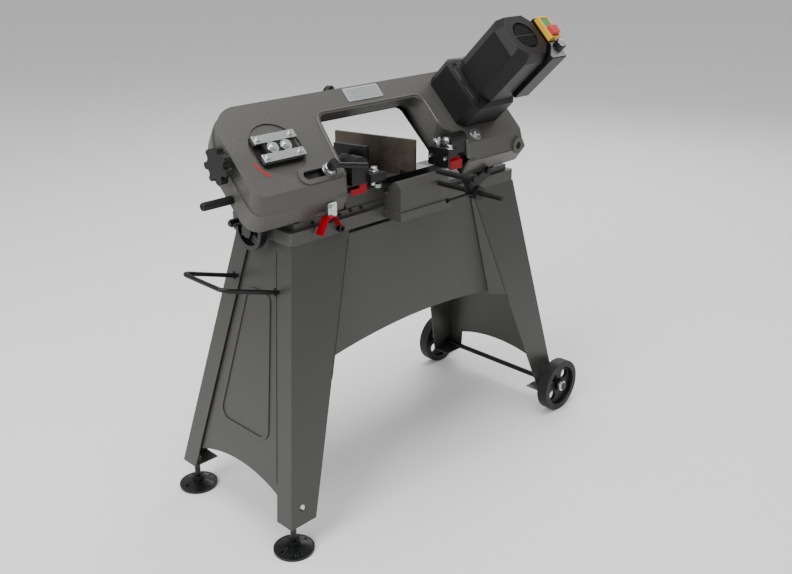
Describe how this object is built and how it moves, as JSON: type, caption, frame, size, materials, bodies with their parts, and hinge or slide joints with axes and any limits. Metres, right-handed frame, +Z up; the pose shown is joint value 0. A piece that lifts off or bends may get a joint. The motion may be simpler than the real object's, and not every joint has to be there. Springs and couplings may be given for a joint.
{
  "type": "horizontal and vertical band saw",
  "caption": "Metal-cutting band saw with a pivoting grey bow, black motor housing, mitred vise and a splayed sheet-metal stand on feet and wheels.",
  "frame": {"origin": "on the floor under the middle of the machine's bounding box", "axes": "+X along the bed from the vise handwheel to the motor end, -Y the operator's side, +Z up"},
  "size_m": [0.916, 0.487, 0.9209],
  "materials": {
    "stand_grey": "satin",
    "machine_grey": "satin",
    "black_sheet": "satin",
    "black_plastic": "matte",
    "black_iron": "satin",
    "zinc": "satin",
    "steel": "satin",
    "cast_iron": "matte",
    "red": "gloss",
    "green": "gloss",
    "yellow": "satin"
  },
  "bodies": {
    "stand": {"leg_front_left": "stand_grey", "leg_rear_left": "stand_grey", "leg_front_right": "stand_grey", "leg_rear_right": "stand_grey", "panel_front": "stand_grey", "panel_rear": "stand_grey", "panel_left_end": "stand_grey", "panel_right_end": "stand_grey", "pull_handle": "zinc", "axle": "zinc", "bed": "machine_grey", "hinge_bracket": "black_iron", "pivot_pin": "zinc", "bed_screws": "zinc", "rest_strap": "black_iron", "stop_rod": "zinc"},
    "foot_front": {"levelling_foot_front": "black_plastic"},
    "foot_rear": {"levelling_foot_rear": "black_plastic"},
    "wheel_front": {"transport_wheel_front": "black_plastic"},
    "wheel_rear": {"transport_wheel_rear": "black_plastic"},
    "bow": {"bow_frame": "machine_grey", "blade_cover": "black_sheet", "lift_handle": "black_plastic", "blade": "steel", "gearbox_base": "black_iron", "motor_can": "steel", "motor_base_cover": "black_plastic", "motor_cover": "black_plastic", "motor_end_cap": "black_plastic", "control_box": "black_plastic", "switch_plate": "yellow", "gib_plates": "zinc", "bow_screws": "zinc", "right_guide_arm": "black_iron", "right_blade_guard": "red"},
    "drive": {"drive_wheel": "cast_iron", "drive_shaft": "steel"},
    "counter": {"counter_gear": "steel"},
    "rotor": {"motor_rotor": "steel"},
    "idler_carriage": {"idler_slide": "steel"},
    "idler": {"idler_wheel": "cast_iron"},
    "knob": {"tension_knob": "black_plastic"},
    "left_guide": {"left_guide_arm": "black_iron", "left_blade_guard": "red"},
    "lever": {"clamp_lever": "black_iron"},
    "roller_lf": {"left_front_roller": "steel"},
    "roller_lr": {"left_rear_roller": "steel"},
    "roller_rf": {"right_front_roller": "steel"},
    "roller_rr": {"right_rear_roller": "steel"},
    "stop_switch": {"stop_button": "red"},
    "start_switch": {"start_button": "green"},
    "speed": {"speed_knob": "black_plastic"},
    "jaw_nut": {"vise_nut": "cast_iron"},
    "jaw_moving": {"moving_jaw": "black_iron"},
    "jaw_fixed": {"fixed_jaw": "black_iron"},
    "screw": {"vise_screw": "zinc", "handwheel": "black_plastic"},
    "crank": {"crank_handle": "black_plastic"},
    "stop_carriage": {"stop_arm": "black_iron"},
    "stop_screw": {"stop_lock_screw": "zinc"}
  },
  "joints": [
    {"name": "wheel_front_spin", "type": "hinge", "parent": "stand", "child": "wheel_front", "pos_m": [0.396, -0.1575, 0.062], "axis": [0, 1, 0], "continuous": true},
    {"name": "wheel_rear_spin", "type": "hinge", "parent": "stand", "child": "wheel_rear", "pos_m": [0.396, 0.2225, 0.062], "axis": [0, 1, 0], "continuous": true},
    {"name": "foot_front_level", "type": "slide", "parent": "stand", "child": "foot_front", "axis": [0, 0, 1], "range_m": [-0.02, 0.01]},
    {"name": "foot_rear_level", "type": "slide", "parent": "stand", "child": "foot_rear", "axis": [0, 0, 1], "range_m": [-0.02, 0.01]},
    {"name": "bow_swing", "type": "hinge", "parent": "stand", "child": "bow", "pos_m": [0.326, 0.0325, 0.64], "axis": [0, 1, 0], "range_deg": [0, 90]},
    {"name": "drive_spin", "type": "hinge", "parent": "bow", "child": "drive", "pos_m": [0.23126, 0.02105, 0.70105], "axis": [0, -0.7071, 0.7071], "continuous": true},
    {"name": "counter_spin", "type": "hinge", "parent": "bow", "child": "counter", "pos_m": [0.20837, -0.00032, 0.75039], "axis": [0, -0.7071, 0.7071], "continuous": true},
    {"name": "rotor_spin", "type": "hinge", "parent": "bow", "child": "rotor", "pos_m": [0.238, -0.02429, 0.78299], "axis": [0, -0.7071, 0.7071], "continuous": true},
    {"name": "tension_slide", "type": "slide", "parent": "bow", "child": "idler_carriage", "axis": [1, 0, 0], "range_m": [0, 0.003]},
    {"name": "tension_turn", "type": "hinge", "parent": "bow", "child": "knob", "pos_m": [-0.412, 0.00965, 0.71794], "axis": [1, 0, 0], "range_deg": [0, 720]},
    {"name": "idler_spin", "type": "hinge", "parent": "idler_carriage", "child": "idler", "pos_m": [-0.294, 0.02105, 0.70105], "axis": [0, -0.7071, 0.7071], "continuous": true},
    {"name": "left_guide_slide", "type": "slide", "parent": "bow", "child": "left_guide", "axis": [1, 0, 0], "range_m": [0, 0.012]},
    {"name": "clamp_turn", "type": "hinge", "parent": "left_guide", "child": "lever", "pos_m": [-0.218, -0.04974, 0.68683], "axis": [0, -0.7071, 0.7071], "range_deg": [0, 90]},
    {"name": "roller_lf_spin", "type": "hinge", "parent": "left_guide", "child": "roller_lf", "pos_m": [-0.104, -0.05512, 0.6345], "axis": [0, 0, 1], "continuous": true},
    {"name": "roller_lr_spin", "type": "hinge", "parent": "left_guide", "child": "roller_lr", "pos_m": [-0.104, -0.03588, 0.6345], "axis": [0, 0, 1], "continuous": true},
    {"name": "roller_rf_spin", "type": "hinge", "parent": "bow", "child": "roller_rf", "pos_m": [0.094, -0.05512, 0.6345], "axis": [0, 0, 1], "continuous": true},
    {"name": "roller_rr_spin", "type": "hinge", "parent": "bow", "child": "roller_rr", "pos_m": [0.094, -0.03588, 0.6345], "axis": [0, 0, 1], "continuous": true},
    {"name": "stop_press", "type": "slide", "parent": "bow", "child": "stop_switch", "axis": [0, 0.7071, -0.7071], "range_m": [0, 0.003], "stiffness_N_per_m": 300},
    {"name": "start_press", "type": "slide", "parent": "bow", "child": "start_switch", "axis": [0, 0.7071, -0.7071], "range_m": [0, 0.003], "stiffness_N_per_m": 300},
    {"name": "speed_turn", "type": "hinge", "parent": "bow", "child": "speed", "pos_m": [0.303, -0.16005, 0.85936], "axis": [0, -0.7071, 0.7071], "range_deg": [0, 270]},
    {"name": "jaw_slide", "type": "slide", "parent": "stand", "child": "jaw_nut", "axis": [1, 0, 0], "range_m": [-0.04, 0.052]},
    {"name": "jaw_swivel_moving", "type": "hinge", "parent": "jaw_nut", "child": "jaw_moving", "pos_m": [-0.09325, 0.04681, 0.63], "axis": [0, 0, 1], "range_deg": [-15, 8]},
    {"name": "jaw_swivel_fixed", "type": "hinge", "parent": "stand", "child": "jaw_fixed", "pos_m": [0.01532, 0.05768, 0.63], "axis": [0, 0, 1], "range_deg": [-15, 8]},
    {"name": "screw_turn", "type": "hinge", "parent": "stand", "child": "screw", "pos_m": [-0.322, 0.0345, 0.581], "axis": [1, 0, 0], "range_deg": [-3600, 4680]},
    {"name": "crank_spin", "type": "hinge", "parent": "screw", "child": "crank", "pos_m": [-0.368, 0.0175, 0.609], "axis": [1, 0, 0], "continuous": true},
    {"name": "stop_slide", "type": "slide", "parent": "stand", "child": "stop_carriage", "axis": [0, 1, 0], "range_m": [-0.04, 0.008]},
    {"name": "stop_screw_turn", "type": "hinge", "parent": "stop_carriage", "child": "stop_screw", "pos_m": [-0.002, -0.1795, 0.617], "axis": [1, 0, 0], "range_deg": [-180, 0]}
  ],
  "couplings": [
    {"joint": "counter_spin", "follows": "drive_spin", "ratio": -4},
    {"joint": "rotor_spin", "follows": "drive_spin", "ratio": 16},
    {"joint": "idler_spin", "follows": "drive_spin", "ratio": 1},
    {"joint": "roller_lf_spin", "follows": "drive_spin", "ratio": -10.389},
    {"joint": "roller_lr_spin", "follows": "drive_spin", "ratio": 10.389},
    {"joint": "roller_rf_spin", "follows": "drive_spin", "ratio": -10.389},
    {"joint": "roller_rr_spin", "follows": "drive_spin", "ratio": 10.389},
    {"joint": "tension_turn", "follows": "tension_slide", "rad_per_m": 4188.8},
    {"joint": "screw_turn", "follows": "jaw_slide", "rad_per_m": 1570.8},
    {"joint": "jaw_swivel_moving", "follows": "jaw_swivel_fixed", "ratio": 1}
  ]
}
